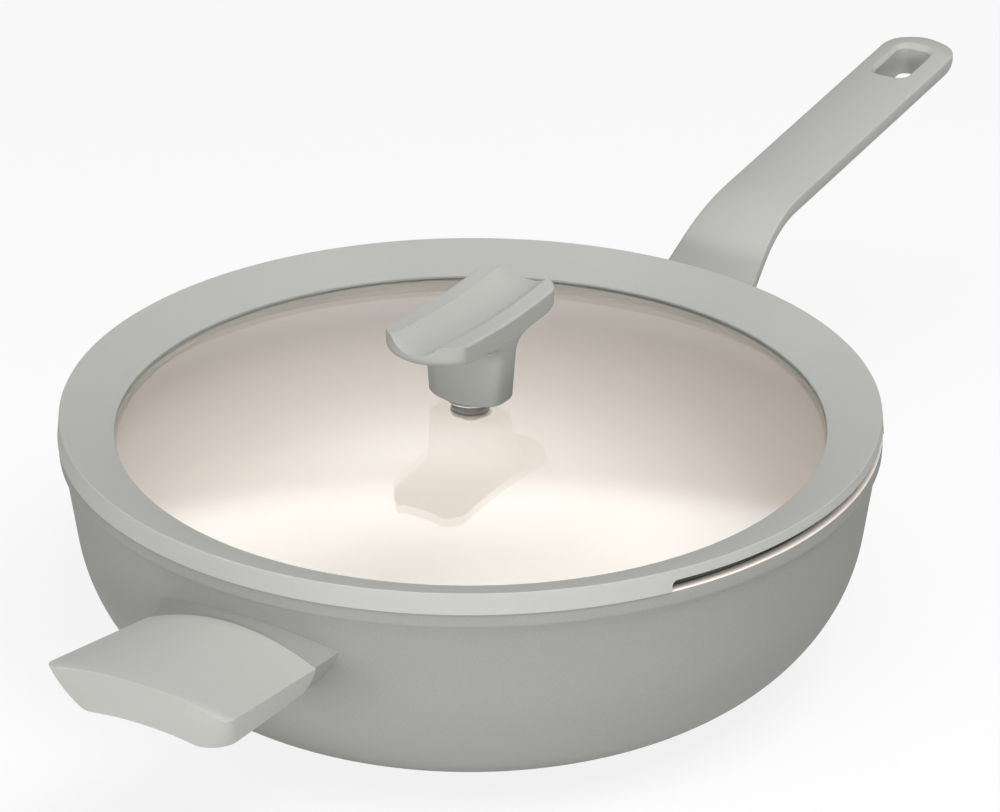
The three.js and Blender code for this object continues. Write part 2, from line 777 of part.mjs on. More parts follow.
// Stem outline: an oval with a flat at each end of its width
function stemRing(z, halfLength, flat, bulge) {
  const outline = oval(halfLength, flat * bulge, 2, knobSides);
  const cut = outline.map(({ x, y }) => new THREE.Vector2(x, Math.max(-flat, Math.min(flat, y))));
  return lifted(cut, z, 0);
}

// The stem widens evenly, rounds out under the plate, and the underside then slopes up to the ends
const stemTopZ = plateZ - knobUnderslope - knobFillet;
const stemTopHalf = stemLength / 2 + stemSpread;
const stemTopWidth = stemWidth / 2 + stemWiden;
const stemRings = [
  stemRing(knobZ, stemLength / 2, stemWidth / 2, stemBulge),
  stemRing(stemTopZ, stemTopHalf, stemTopWidth, stemBulge),
];
const filletSteps = 4;
for (let i = 1; i <= filletSteps; i += 1) {
  const share = i / filletSteps;
  const angle = Math.PI / 2 * share;
  const halfLength = stemTopHalf + knobFillet * (1 - Math.cos(angle));
  const flat = mix(stemTopWidth, widthHalf, share);
  const z = stemTopZ + knobFillet * Math.sin(angle);
  stemRings.push(stemRing(z, halfLength, flat, mix(stemBulge, stemTopBulge, share * share)));
}
const plateRings = [
  plateRing(plateZ - knobUnderslope / 2, mix(stemTopHalf, plateHalf, 0.5)),
  plateRing(plateZ, plateHalf * 0.87),
  plateRing(plateZ + knobSideHeight * 0.2, plateHalf * 0.94),
  plateRing(plateZ + knobSideHeight * 0.5, plateHalf * 0.985),
  plateRing(plateZ + knobSideHeight, plateHalf, 0, knobEndRise),
  plateRing(knobTopZ, plateHalf - knobCrown, knobCrown, knobEndRise),
];
const grooveCurve = (knobGrooveHalfWidth ** 2 + knobGrooveDepth ** 2) / (2 * knobGrooveDepth);
const grooveSides = 72;
const grooveSteps = 8;

// The groove runs the length of the plate and follows the rise of both ends
const grooveRings = Array.from({ length: grooveSteps + 1 }, (_, i) => {
  const share = mix(-1.1, 1.1, i / grooveSteps);
  const middleZ = knobTopZ - knobGrooveDepth + grooveCurve + knobEndRise * share * share;
  const circle = oval(grooveCurve, grooveCurve, 2, grooveSides);
  return circle.map(({ x, y }) => new THREE.Vector3(share * plateHalf, x, middleZ + y));
});
const insertZ = knobZ + gap;
const insertPocket = cylinder(
  insertRadius + gap,
  insertLength + 4 * gap,
  shifted(0, 0, knobZ + insertLength / 2),
);
const knob = loft([...stemRings, ...plateRings]).subtract(loft(grooveRings)).subtract(insertPocket);
add(lid, 'knob', knob, softGrip);
add(lid, 'knob_threaded_insert', ring(insertBore, insertRadius, insertZ, insertLength), brass);

// Stack below the glass: soft washer, steel washer and the screw that draws the knob down
const lowerWasherZ = glassUnderZ(0) - gap - lowerWasherThickness;
const steelWasherZ = lowerWasherZ - gap - steelWasherThickness;
const knobScrewZ = steelWasherZ - gap;
const lowerWasher = ring(insertBore, lowerWasherRadius, lowerWasherZ, lowerWasherThickness);
add(lid, 'lid_lower_washer', lowerWasher, silicone);
const steelWasher = ring(insertBore, steelWasherRadius, steelWasherZ, steelWasherThickness);
add(lid, 'lid_steel_washer', steelWasher, steel);
const knobScrewLength = insertZ + screwEngagement - knobScrewZ;
const knobScrew = screw(knobScrewRadius, knobScrewHeadRadius, knobScrewHeadHeight, knobScrewLength)
  .transform(shifted(0, 0, knobScrewZ).toArray());
add(lid, 'knob_screw', knobScrew, steel);

const wok = new THREE.Group();
wok.add(pan, lid);

export default wok;
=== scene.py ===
"""Looks for a deep pan with a long handle, a helper handle and a glass lid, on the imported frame."""

import math

import bmesh
import bpy
from mathutils import Matrix, Vector


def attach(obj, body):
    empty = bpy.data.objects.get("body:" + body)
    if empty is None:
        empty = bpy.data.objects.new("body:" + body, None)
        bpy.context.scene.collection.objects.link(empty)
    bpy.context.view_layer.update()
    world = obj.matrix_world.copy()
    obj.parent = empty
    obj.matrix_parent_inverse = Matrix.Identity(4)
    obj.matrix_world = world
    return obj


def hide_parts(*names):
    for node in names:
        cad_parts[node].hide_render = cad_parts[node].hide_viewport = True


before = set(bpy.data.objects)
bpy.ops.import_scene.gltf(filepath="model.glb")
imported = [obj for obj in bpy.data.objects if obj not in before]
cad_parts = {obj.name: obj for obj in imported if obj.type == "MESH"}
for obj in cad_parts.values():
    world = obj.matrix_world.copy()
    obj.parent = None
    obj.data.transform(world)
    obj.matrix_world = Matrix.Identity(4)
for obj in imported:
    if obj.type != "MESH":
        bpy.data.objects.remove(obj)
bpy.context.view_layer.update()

MM = 0.001

# Pan, in millimetres
RIM_RADIUS = 145.3
PAN_HEIGHT = 88.0
BAND_HEIGHT = 5.6
BAND_STEP = 1.4
# Share of the step and height from the band's foot, at each point of the curve under the band
BAND_CURVE = ((0.0, -0.6), (0.35, -0.25), (0.75, 0.05), (0.95, 0.5), (1.0, 1.2))
WALL_END = 1.1
RIM_ROUND = 0.8
INNER_ROUND = 1.0
INNER_END = 0.9
DRAFT = math.radians(8.2)
WALL = 3.5
HEEL = 62.0
INNER_HEEL = 55.0
FLOOR = 6.0
FLOOR_RING = 40.0
BASE_RELIEF = 0.5
RECESS_RADIUS = 72.3
RECESS_Z = 2.5

# Lid
LID_SEAT = PAN_HEIGHT + 0.3
LID_RADIUS = RIM_RADIUS + 0.4
LID_TOP = LID_SEAT + 7.3
LID_TAPER = 0.7
SIGHT_RADIUS = LID_RADIUS - 20.0
SIGHT_Z = LID_TOP - 7.0
LIP_EDGE = 0.7
LOWER_LIP = 1.8
GLASS_THICKNESS = 4.0
GLASS_RISE = 10.2
GLASS_EDGE = SIGHT_RADIUS + 4.8
GLASS_HOLE = 4.6
GLASS_IOR = 1.4
GAP = 0.3
SEAL = 0.03
DRIP_EDGE = 0.5
DRIP_GAP = 0.1
SKIRT_FOOT = PAN_HEIGHT - 12.8
SKIRT_THICKNESS = 2.5
SKIRT_CLEARANCE = 1.0
SLOT_HALF_SPAN = math.radians(29.5)
SLOT_HEIGHT = 3.4
SLOT_CORNER = 2.2
SLOT_OVERRUN = 1.0

# Knob
KNOB_FOOT = 100.2
# Height and inset at each point of the foot's edge
KNOB_FOOT_EDGE = ((0.0, 0.8), (0.25, 0.3), (0.8, 0.0))
KNOB_TOP = 132.0
KNOB_HALF = 37.9
KNOB_HALF_WIDTH = 16.4
KNOB_RISE = 2.3
RIDGE_END = 33.0
KNOB_EDGE_Z = 125.7
KNOB_EDGE_HALF = 34.6
KNOB_UNDER_Z = 124.4
KNOB_FILLET = 7.0
KNOB_UNDER_INSET = 1.5
KNOB_UNDER_DROP = 0.2
KNOB_UNDER_POWER = 0.8
KNOB_SIDE_ROUND = 3.0
KNOB_BEVEL = 0.5
STEM_HALF = 10.8
STEM_HALF_WIDTH = 15.0
STEM_SPREAD = 0.5
STEM_WIDEN = 1.2
STEM_BULGE = 1.093
STEM_TOP_BULGE = 1.46
GROOVE_HALF_WIDTH = 10.0
GROOVE_DEPTH = 4.1
GROOVE_POWER = 2.5
KNOB_END_RADIUS = 19.4
KNOB_CORNER = 5.0
KNOB_EDGE = 0.9
STEM_EDGE = 0.7

# Long handle, along the line of its side edges
HANDLE_ROOT_X = RIM_RADIUS + 11.7
HANDLE_BEND_X = RIM_RADIUS + 42.0
HANDLE_REACH = RIM_RADIUS + 185.9
HANDLE_BEND_Z = 101.25
HANDLE_SLOPE = math.radians(7.84)
HANDLE_ROOT_SLOPE = math.radians(37.3)
HANDLE_BEND_RADIUS = 64.6
HANDLE_HALF_WIDTH = 15.1
HANDLE_ROOT_HALF_WIDTH = 20.2
HANDLE_CREST = 2.2
HANDLE_BELLY = 11.4
HANDLE_TIP = 12.0
HANDLE_TIP_POWER = 2.4
HANDLE_TIP_SHARE = 0.995
HANDLE_TIP_THINNING = 0.55
HANDLE_WIDEN_POWER = 1.5
HANDLE_BELLY_POWER = 0.8
GRIP_BEVEL = 0.6
HOLE_LENGTH = 28.0
HOLE_WIDTH = 18.2
HOLE_CHAMFER = 2.0
HOLE_CORNER = 6.0
HOLE_TO_TIP = 7.7
NECK_INSET = 0.5
NECK_SINK = 0.8
LONG_NECK_STEP = 60.0

# Helper handle
HELPER_ROOT_X = RIM_RADIUS + 2.7
HELPER_RUN = 54.5
HELPER_HALF_WIDTHS = (34.4, 37.4)
HELPER_EDGES = (66.4, 71.5)
HELPER_CRESTS = (7.6, 4.3)
HELPER_DEPTHS = (11.5, 14.3)
HELPER_UNDERCUT = 5.9
HELPER_END_UNDERCUT = 3.0
HELPER_HOLLOW = 1.6
HELPER_CORNERS = (3.5, 10.0)
HELPER_SIDE_CURVE = (0.27, 0.55)
HELPER_NECK_STEP = 40.0
NECK_FLARE = 3.0
NECK_LIFT = 0.8

# Screws, washers and plate
FIXING_BEVEL = 0.15


def mix(a, b, t):
    return a + (b - a) * t


# Materials


def nodes_of(name):
    material = bpy.data.materials.new(name)
    material.use_nodes = True
    tree = material.node_tree
    shader = tree.nodes["Principled BSDF"]
    return material, tree, shader


def noise(tree, scale, detail=3.0):
    coordinates = tree.nodes.new("ShaderNodeTexCoord")
    texture = tree.nodes.new("ShaderNodeTexNoise")
    texture.inputs["Scale"].default_value = scale
    texture.inputs["Detail"].default_value = detail
    tree.links.new(coordinates.outputs["Object"], texture.inputs["Vector"])
    return texture.outputs["Fac"]


def spread(tree, value, low, high):
    """A number that runs from low to high as value runs over a noise's middle range."""
    node = tree.nodes.new("ShaderNodeMapRange")
    node.inputs["From Min"].default_value = 0.3
    node.inputs["From Max"].default_value = 0.7
    node.inputs["To Min"].default_value = low
    node.inputs["To Max"].default_value = high
    tree.links.new(value, node.inputs["Value"])
    return node.outputs["Result"]


def tint(tree, value, low, high):
    """A colour between two, picked by value."""
    node = tree.nodes.new("ShaderNodeMix")
    node.data_type = "RGBA"
    node.inputs["A"].default_value = (*low, 1.0)
    node.inputs["B"].default_value = (*high, 1.0)
    tree.links.new(value, node.inputs["Factor"])
    return node.outputs["Result"]


def relief(tree, shader, value, height):
    bump = tree.nodes.new("ShaderNodeBump")
    bump.inputs["Distance"].default_value = height
    bump.inputs["Strength"].default_value = 0.5
    tree.links.new(value, bump.inputs["Height"])
    tree.links.new(bump.outputs["Normal"], shader.inputs["Normal"])


def finish(name, colour, roughness, grain, mottle, specular=0.5):
    """A mottled finish with a fine grain: colour and roughness vary a little over the surface."""
    material, tree, shader = nodes_of(name)
    fine = noise(tree, grain)
    broad = noise(tree, 14.0, 2.0)
    low = [c * (1.0 - mottle) for c in colour]
    high = [min(1.0, c * (1.0 + mottle)) for c in colour]
    tree.links.new(tint(tree, spread(tree, fine, 0.0, 1.0), low, high), shader.inputs["Base Color"])
    rough = spread(tree, broad, roughness - 0.04, roughness + 0.04)
    tree.links.new(rough, shader.inputs["Roughness"])
    shader.inputs["Specular IOR Level"].default_value = specular
    relief(tree, shader, fine, 0.00003)
    return material


def turned_metal(name, colour, roughness, rings):
    """Metal turned on a lathe: fine rings round the Z axis."""
    material, tree, shader = nodes_of(name)
    coordinates = tree.nodes.new("ShaderNodeTexCoord")
    wave = tree.nodes.new("ShaderNodeTexWave")
    wave.wave_type = "RINGS"
    wave.rings_direction = "Z"
    wave.inputs["Scale"].default_value = rings
    wave.inputs["Distortion"].default_value = 1.5
    wave.inputs["Detail"].default_value = 3.0
    tree.links.new(coordinates.outputs["Object"], wave.inputs["Vector"])
    low = [c * 0.93 for c in colour]
    tree.links.new(tint(tree, wave.outputs["Fac"], low, colour), shader.inputs["Base Color"])
    rough = spread(tree, wave.outputs["Fac"], roughness - 0.05, roughness + 0.08)
    tree.links.new(rough, shader.inputs["Roughness"])
    shader.inputs["Metallic"].default_value = 1.0
    relief(tree, shader, wave.outputs["Fac"], 0.00002)
    return material


def clear_glass(name):
    """Clear glass that lets shadow rays through, so that the light reaches what it covers."""
    material, tree, shader = nodes_of(name)
    shader.inputs["Base Color"].default_value = (0.99, 0.995, 0.99, 1.0)
    shader.inputs["Transmission Weight"].default_value = 1.0
    shader.inputs["IOR"].default_value = GLASS_IOR
    broad = noise(tree, 20.0, 1.0)
    tree.links.new(spread(tree, broad, 0.0, 0.02), shader.inputs["Roughness"])
    path = tree.nodes.new("ShaderNodeLightPath")
    through = tree.nodes.new("ShaderNodeMath")
    through.operation = "MAXIMUM"
    tree.links.new(path.outputs["Is Shadow Ray"], through.inputs[0])
    tree.links.new(path.outputs["Is Diffuse Ray"], through.inputs[1])
    clear = tree.nodes.new("ShaderNodeBsdfTransparent")
    mirror = tree.nodes.new("ShaderNodeFresnel")
    mirror.inputs["IOR"].default_value = GLASS_IOR
    passed = tint(tree, mirror.outputs["Fac"], (0.99, 0.995, 0.99), (0.0, 0.0, 0.0))
    tree.links.new(passed, clear.inputs["Color"])
    blend = tree.nodes.new("ShaderNodeMixShader")
    tree.links.new(through.outputs["Value"], blend.inputs["Fac"])
    tree.links.new(shader.outputs["BSDF"], blend.inputs[1])
    tree.links.new(clear.outputs["BSDF"], blend.inputs[2])
    tree.links.new(blend.outputs["Shader"], tree.nodes["Material Output"].inputs["Surface"])
    return material


coat = finish("pan_coat", (0.331, 0.33, 0.316), 0.55, 1500.0, 0.035, specular=0.02)
cream = finish("cream_coat", (0.95, 0.874, 0.81), 0.4, 900.0, 0.012)
grip = finish("soft_grip", (0.472, 0.477, 0.45), 0.6, 2200.0, 0.02, specular=0.1)
silicone = finish("silicone", (0.466, 0.471, 0.449), 0.6, 1800.0, 0.018, specular=0.08)
# A lighter copy of the rim's silicone for its faces under the glass, which stand in shade: painted light in
# place of the light those faces lack.
painted_light_silicone = finish("painted_light_silicone", (0.74, 0.715, 0.665), 0.55, 1800.0, 0.018, specular=0.1)
# Pale silicone for the gasket and lower washer, made paler still so that the washer's shaded top reads
# bright: a pale material with painted light on it.
pale_silicone_with_painted_light = finish("pale_silicone_with_painted_light", (0.94, 0.93, 0.9), 0.5, 1800.0, 0.015)
glass = clear_glass("lid_glass")
steel = turned_metal("fixing_steel", (0.74, 0.74, 0.75), 0.24, 900.0)
base_steel = turned_metal("base_steel", (0.62, 0.62, 0.62), 0.33, 420.0)
bright_steel = turned_metal("bright_steel", (0.93, 0.93, 0.93), 0.42, 900.0)
brass = turned_metal("insert_brass", (0.62, 0.45, 0.2), 0.3, 900.0)


# Mesh helpers, with points in millimetres


def piece(name, points, faces, materials, face_slots=None, sharp=30.0):
    mesh = bpy.data.meshes.new(name)
    mesh.from_pydata([tuple(c * MM for c in p) for p in points], [], faces)
    for material in materials:
        mesh.materials.append(material)
    if face_slots:
        mesh.polygons.foreach_set("material_index", face_slots)
    work = bmesh.new()
    work.from_mesh(mesh)
    bmesh.ops.remove_doubles(work, verts=work.verts, dist=1e-7)
    bmesh.ops.recalc_face_normals(work, faces=work.faces)
    work.to_mesh(mesh)
    work.free()
    mesh.shade_smooth()
    mesh.set_sharp_from_angle(angle=math.radians(sharp))
    obj = bpy.data.objects.new(name, mesh)
    bpy.context.collection.objects.link(obj)
    return obj


def loft(name, rings, materials, sharp=30.0):
    """A skin through rings with equal numbers of points, closed by a face at each end."""
    count = len(rings[0])
    points = [p for ring in rings for p in ring]
    faces = []
    for i in range(len(rings) - 1):
        for k in range(count):
            a, b = i * count + k, i * count + (k + 1) % count
            faces.append((a, b, b + count, a + count))
    last = (len(rings) - 1) * count
    faces.append(tuple(range(count)))
    faces.append(tuple(range(last, last + count)))
    return piece(name, points, faces, materials, sharp=sharp)


def turned(name, profile, materials, bands=None, segments=192, sharp=30.0):
    """A profile of radius and height turned about Z; bands holds a material index for each step of it."""
    count = len(profile)
    closed = profile[0][0] > 0 or profile[-1][0] > 0
    points, faces, slots = [], [], []
    for k in range(segments):
        angle = 2 * math.pi * k / segments
        c, s = math.cos(angle), math.sin(angle)
        points.extend((r * c, r * s, z) for r, z in profile)
    for k in range(segments):
        here, there = k * count, (k + 1) % segments * count
        for i in range(count if closed else count - 1):
            j = (i + 1) % count
            faces.append((here + i, there + i, there + j, here + j))
            slots.append(bands[i] if bands else 0)
    return piece(name, points, faces, materials, slots, sharp)


def arc(x, z, radius, start, end, steps):
    angles = [mix(start, end, i / steps) for i in range(steps + 1)]
    return [(x + radius * math.cos(a), z + radius * math.sin(a)) for a in angles]


def softened(points, reaches, steps=5):
    """A closed outline with the named corners rounded: reaches gives each corner's distance to its curve."""
    out = []
    for i, p in enumerate(points):
        reach = reaches.get(i, 0.0)
        if reach == 0.0:
            out.append(p)
            continue
        before, after = Vector(points[i - 1]), Vector(points[(i + 1) % len(points)])
        corner = Vector(p)
        start = corner + (before - corner).normalized() * reach
        end = corner + (after - corner).normalized() * reach
        for k in range(steps + 1):
            t = k / steps
            out.append(tuple(start * (1 - t) ** 2 + corner * 2 * t * (1 - t) + end * t * t))
    return out


def cut(obj, cutter, sharp=30.0):
    """Takes the cutter's space out of the object and removes the cutter."""
    change = obj.modifiers.new("cut", "BOOLEAN")
    change.operation = "DIFFERENCE"
    change.solver = "EXACT"
    change.object = cutter
    graph = bpy.context.evaluated_depsgraph_get()
    result = bpy.data.meshes.new_from_object(obj.evaluated_get(graph))
    obj.modifiers.remove(change)
    old = obj.data
    obj.data = result
    result.name = old.name
    bpy.data.meshes.remove(old)
    spare = cutter.data
    bpy.data.objects.remove(cutter)
    bpy.data.meshes.remove(spare)
    result.shade_smooth()
    result.set_sharp_from_angle(angle=math.radians(sharp))


def bevel(obj, width, angle=35.0, segments=3):
    change = obj.modifiers.new("edge", "BEVEL")
    change.width = width * MM
    change.segments = segments
    change.limit_method = "ANGLE"
    change.angle_limit = math.radians(angle)
    change.use_clamp_overlap = True
    change.harden_normals = True


def place(obj, body, slot, *nodes):
    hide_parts(*nodes)
    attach(obj, body)


# Pan

BAND_Z = PAN_HEIGHT - BAND_HEIGHT
BAND_FOOT = RIM_RADIUS - BAND_STEP


def wall_line(offset, z):
    return BAND_FOOT - (BAND_Z - z) * math.tan(DRAFT) - offset / math.cos(DRAFT)


def wall_run(offset, floor_z, heel, top_z, steps):
    heel_z = floor_z + heel
    tangent_z = heel_z - heel * math.sin(DRAFT)
    heel_x = wall_line(offset, tangent_z) - heel * math.cos(DRAFT)
    run = arc(heel_x, heel_z, heel, -math.pi / 2, -DRAFT, steps)
    heights = [mix(tangent_z, top_z, i / 4) for i in range(1, 5)]
    return heel_x, run + [(wall_line(offset, z), z) for z in heights]


HEEL_X, outer_run = wall_run(0.0, 0.0, HEEL, BAND_Z - WALL_END, 48)
_, inner_run = wall_run(WALL, FLOOR, INNER_HEEL, PAN_HEIGHT - INNER_END, 40)


def wall_radius(z):
    """Outside radius of the pan at a height."""
    tangent_z = HEEL - HEEL * math.sin(DRAFT)
    if z >= tangent_z:
        return wall_line(0.0, z)
    return HEEL_X + math.sqrt(HEEL ** 2 - (HEEL - z) ** 2)


relief_radius = HEEL_X + math.sqrt(HEEL ** 2 - (HEEL - BASE_RELIEF) ** 2)
outside = [
    (0.0, RECESS_Z),
    (RECESS_RADIUS, RECESS_Z),
    (RECESS_RADIUS, BASE_RELIEF),
    (relief_radius, BASE_RELIEF),
]
outside += [p for p in outer_run if p[1] > BASE_RELIEF]
outside += [(BAND_FOOT + share * BAND_STEP, BAND_Z + lift) for share, lift in BAND_CURVE]
rim_edge = arc(RIM_RADIUS - RIM_ROUND, PAN_HEIGHT - RIM_ROUND, RIM_ROUND, 0.0, math.pi / 2, 6)
outside += rim_edge[:3]
inner_top = wall_line(WALL, PAN_HEIGHT)
inside = rim_edge[3:]
inside += arc(inner_top + INNER_ROUND, PAN_HEIGHT - INNER_ROUND, INNER_ROUND, math.pi / 2, math.pi, 5)
inside += [p for p in reversed(inner_run) if p[1] < PAN_HEIGHT - INNER_ROUND]
inside += [(FLOOR_RING, FLOOR), (0.0, FLOOR)]
pan_profile = outside + inside
pan_bands = [0] * (len(outside) - 1) + [1] * len(inside)
pan = turned("pan_shell", pan_profile, [coat, cream], pan_bands)
place(pan, "pan", "coated_pan", "pan_body")

# Lid glass and rim

GLASS_CURVE = (SIGHT_RADIUS ** 2 + GLASS_RISE ** 2) / (2 * GLASS_RISE)
GLASS_SIGHT_Z = SIGHT_Z - LIP_EDGE - GAP


def glass_top(r):
    return GLASS_SIGHT_Z + GLASS_RISE - GLASS_CURVE + math.sqrt(GLASS_CURVE ** 2 - r * r)


def glass_under(r):
    return glass_top(r) - GLASS_THICKNESS


glass_radii = [mix(GLASS_HOLE, GLASS_EDGE, i / 40) for i in range(41)]
glass_profile = [(r, glass_under(r)) for r in glass_radii]
glass_profile += [(r, glass_top(r)) for r in reversed(glass_radii)]
dome = turned("lid_dome", glass_profile, [glass], sharp=40.0)
place(dome, "lid", "lid_glass", "lid_glass")

groove_radius = GLASS_EDGE + SEAL
lip_z = glass_under(SIGHT_RADIUS) - SEAL - LOWER_LIP
skirt_outer = wall_line(WALL, SKIRT_FOOT) - SKIRT_CLEARANCE
skirt_outer_top = wall_line(WALL, LID_SEAT) - SKIRT_CLEARANCE
skirt_inner = skirt_outer - SKIRT_THICKNESS
rim_corners = [
    (LID_RADIUS, LID_SEAT - DRIP_EDGE),
    (LID_RADIUS - LID_TAPER, LID_TOP),
    (SIGHT_RADIUS, SIGHT_Z),
    (SIGHT_RADIUS, glass_top(SIGHT_RADIUS) + SEAL),
    (groove_radius, glass_top(groove_radius) + SEAL),
    (groove_radius, glass_under(groove_radius) - SEAL),
    (SIGHT_RADIUS, glass_under(SIGHT_RADIUS) - SEAL),
    (SIGHT_RADIUS, lip_z),
    (skirt_inner, lip_z),
    (skirt_inner, SKIRT_FOOT),
    (skirt_outer, SKIRT_FOOT),
    (skirt_outer_top, LID_SEAT),
    (RIM_RADIUS + DRIP_GAP, LID_SEAT),
    (RIM_RADIUS + DRIP_GAP, LID_SEAT - DRIP_EDGE),
]
rim_profile = softened(rim_corners, {1: 0.6, 2: 0.3, 7: 0.5, 9: 0.5, 10: 0.5})
inside_radius = max(groove_radius, skirt_inner) + GAP
# Faces under the glass take the lighter silicone copy: painted light on the shaded skirt and lower lip.
rim_bands = []
for (r, z), (next_r, next_z) in zip(rim_profile, rim_profile[1:] + rim_profile[:1]):
    under_glass = (r + next_r) / 2 < inside_radius and (z + next_z) / 2 < GLASS_SIGHT_Z
    rim_bands.append(1 if under_glass else 0)
rim = turned("lid_rim", rim_profile, [silicone, painted_light_silicone], rim_bands, segments=240)


def slot_cutter(middle):
    """The space of one pouring slot: straight below, rounded at its upper corners."""
    inner, outer = skirt_inner - GAP, LID_RADIUS + SLOT_OVERRUN
    half = SLOT_HALF_SPAN * LID_RADIUS
    low = LID_SEAT - SLOT_OVERRUN
    runs = [half - SLOT_CORNER * (1 - math.sin(i / 8 * math.pi / 2)) for i in range(9)]
    tops = [LID_SEAT + SLOT_HEIGHT - SLOT_CORNER * (1 - math.cos(i / 8 * math.pi / 2)) for i in range(9)]
    ends = list(zip(runs, tops))
    level = [(mix(-1, 1, i / 40) * (half - SLOT_CORNER), LID_SEAT + SLOT_HEIGHT) for i in range(1, 40)]
    stations = [(-s, t) for s, t in reversed(ends)] + level + ends
    rings = []
    for s, top in stations:
        angle = middle + s / LID_RADIUS
        c, d = math.cos(angle), math.sin(angle)
        corners = [(inner, low), (inner, top), (outer, top), (outer, low)]
        rings.append([(r * c, r * d, z) for r, z in corners])
    return loft("slot_space", rings, [silicone])


for side in (-1, 1):
    cut(rim, slot_cutter(side * math.pi / 2))
place(rim, "lid", "silicone", "lid_silicone_rim")

# Knob

QUARTER = 28


def stem_line(half_length, flat, bulge):
    """An oval with a flat at each end of its width, from its +X end round to the left."""
    out = []
    for i in range(4 * QUARTER):
        turn = math.pi / 2 * i / QUARTER
        y = flat * bulge * math.sin(turn)
        kept = flat - STEM_EDGE * math.log(1 + math.exp((flat - abs(y)) / STEM_EDGE))
        out.append((half_length * math.cos(turn), math.copysign(max(0.0, kept), y)))
    return out


def plate_line(half_length):
    """Round ends, softened corners and straight sides, from the +X end round to the left."""
    end = half_length - KNOB_END_RADIUS
    inside = KNOB_HALF_WIDTH - KNOB_CORNER
    reach = math.sqrt((KNOB_END_RADIUS - KNOB_CORNER) ** 2 - inside ** 2)
    turn = math.atan2(inside, reach)
    steps = QUARTER // 4
    quarter = arc(end, 0.0, KNOB_END_RADIUS, 0.0, turn, 2 * steps)[:-1]
    quarter += arc(end + reach, inside, KNOB_CORNER, turn, math.pi / 2, steps)
    quarter += [((end + reach) * (1 - i / steps), KNOB_HALF_WIDTH) for i in range(1, steps + 1)]
    half = quarter[:-1] + [(-x, y) for x, y in reversed(quarter[1:])]
    return half + [(-x, -y) for x, y in half]


def knob_top(x, y):
    """Height of the knob's top: a long groove between two soft-edged ridges, with the ends raised."""
    lift = KNOB_RISE * (min(abs(x), RIDGE_END) / KNOB_HALF) ** 2
    if abs(y) <= GROOVE_HALF_WIDTH:
        return KNOB_TOP + lift - GROOVE_DEPTH * (1 - (abs(y) / GROOVE_HALF_WIDTH) ** GROOVE_POWER)
    past = max(0.0, abs(y) - KNOB_HALF_WIDTH + KNOB_EDGE)
    return KNOB_TOP + lift - KNOB_EDGE + math.sqrt(max(0.0, KNOB_EDGE ** 2 - past ** 2))


stem_top = STEM_HALF + STEM_SPREAD
stem_top_width = STEM_HALF_WIDTH + STEM_WIDEN
stem_top_z = KNOB_UNDER_Z - KNOB_FILLET
knob_rings = []


def knob_ring(z, line):
    knob_rings.append([(x, y, z) for x, y in line])


for z, inset in KNOB_FOOT_EDGE:
    knob_ring(KNOB_FOOT + z, stem_line(STEM_HALF - inset, STEM_HALF_WIDTH - inset, STEM_BULGE))
for i in range(9):
    turn = i / 8 * math.pi / 2
    half = stem_top + KNOB_FILLET * (1 - math.cos(turn))
    flat = mix(stem_top_width, KNOB_HALF_WIDTH, i / 8)
    bulge = mix(STEM_BULGE, STEM_TOP_BULGE, (i / 8) ** 2)
    knob_ring(stem_top_z + KNOB_FILLET * math.sin(turn), stem_line(half, flat, bulge))
for i in range(1, 9):
    half = mix(stem_top + KNOB_FILLET, KNOB_EDGE_HALF - KNOB_UNDER_INSET, i / 8)
    under_z = mix(KNOB_UNDER_Z, KNOB_EDGE_Z - KNOB_UNDER_DROP, (i / 8) ** KNOB_UNDER_POWER)
    knob_ring(under_z, plate_line(half))
for i in range(9):
    turn = i / 8 * math.pi / 2
    half = mix(KNOB_EDGE_HALF, KNOB_HALF, math.sin(turn))
    knob_ring(KNOB_EDGE_Z + KNOB_SIDE_ROUND * (1 - math.cos(turn)), plate_line(half))
rim_line = plate_line(KNOB_HALF)
side_z = knob_rings[-1][0][2]
for i in range(1, 5):
    knob_rings.append([(x, y, mix(side_z, knob_top(x, y), i / 4)) for x, y in rim_line])
count = len(rim_line)
knob_points = [p for ring in knob_rings for p in ring]
knob_faces = [tuple(range(count))]
for i in range(len(knob_rings) - 1):
    for k in range(count):
        a, b = i * count + k, i * count + (k + 1) % count
        knob_faces.append((a, b, b + count, a + count))
columns = []
for x, edge in rim_line[: 2 * QUARTER + 1]:
    ridge = min(GROOVE_HALF_WIDTH, abs(edge))
    half_column = [ridge * i / 12 for i in range(13)]
    half_column += [mix(abs(edge), ridge, (1 - i / 12) ** 2) for i in range(1, 13)]
    column = [-y for y in reversed(half_column[1:])] + half_column
    columns.append([(x, y, knob_top(x, y)) for y in column])
first = len(knob_points)
rows = len(columns[0])
knob_points += [p for column in columns for p in column]
for i in range(len(columns) - 1):
    for k in range(rows - 1):
        a = first + i * rows + k
        knob_faces.append((a, a + 1, a + rows + 1, a + rows))
knob = piece("knob_form", knob_points, knob_faces, [grip], sharp=35.0)
bevel(knob, KNOB_BEVEL, angle=40.0)
place(knob, "lid", "soft_grip", "knob")

# Long handle

bend_turn = HANDLE_ROOT_SLOPE - HANDLE_SLOPE
bend_tangent = HANDLE_BEND_RADIUS * math.tan(bend_turn / 2)
root_distance = (HANDLE_BEND_X - HANDLE_ROOT_X) / math.cos(HANDLE_ROOT_SLOPE)
tip_distance = (HANDLE_REACH - HANDLE_BEND_X) / math.cos(HANDLE_SLOPE)
bend_start = root_distance - bend_tangent
bend_end = bend_start + HANDLE_BEND_RADIUS * bend_turn
handle_length = bend_end + tip_distance - bend_tangent


def along(slope, distance):
    return HANDLE_BEND_X + distance * math.cos(slope), HANDLE_BEND_Z + distance * math.sin(slope)


bend_end_point = along(HANDLE_SLOPE, bend_tangent)
bend_centre = (
    bend_end_point[0] + HANDLE_BEND_RADIUS * math.sin(HANDLE_SLOPE),
    bend_end_point[1] - HANDLE_BEND_RADIUS * math.cos(HANDLE_SLOPE),
)


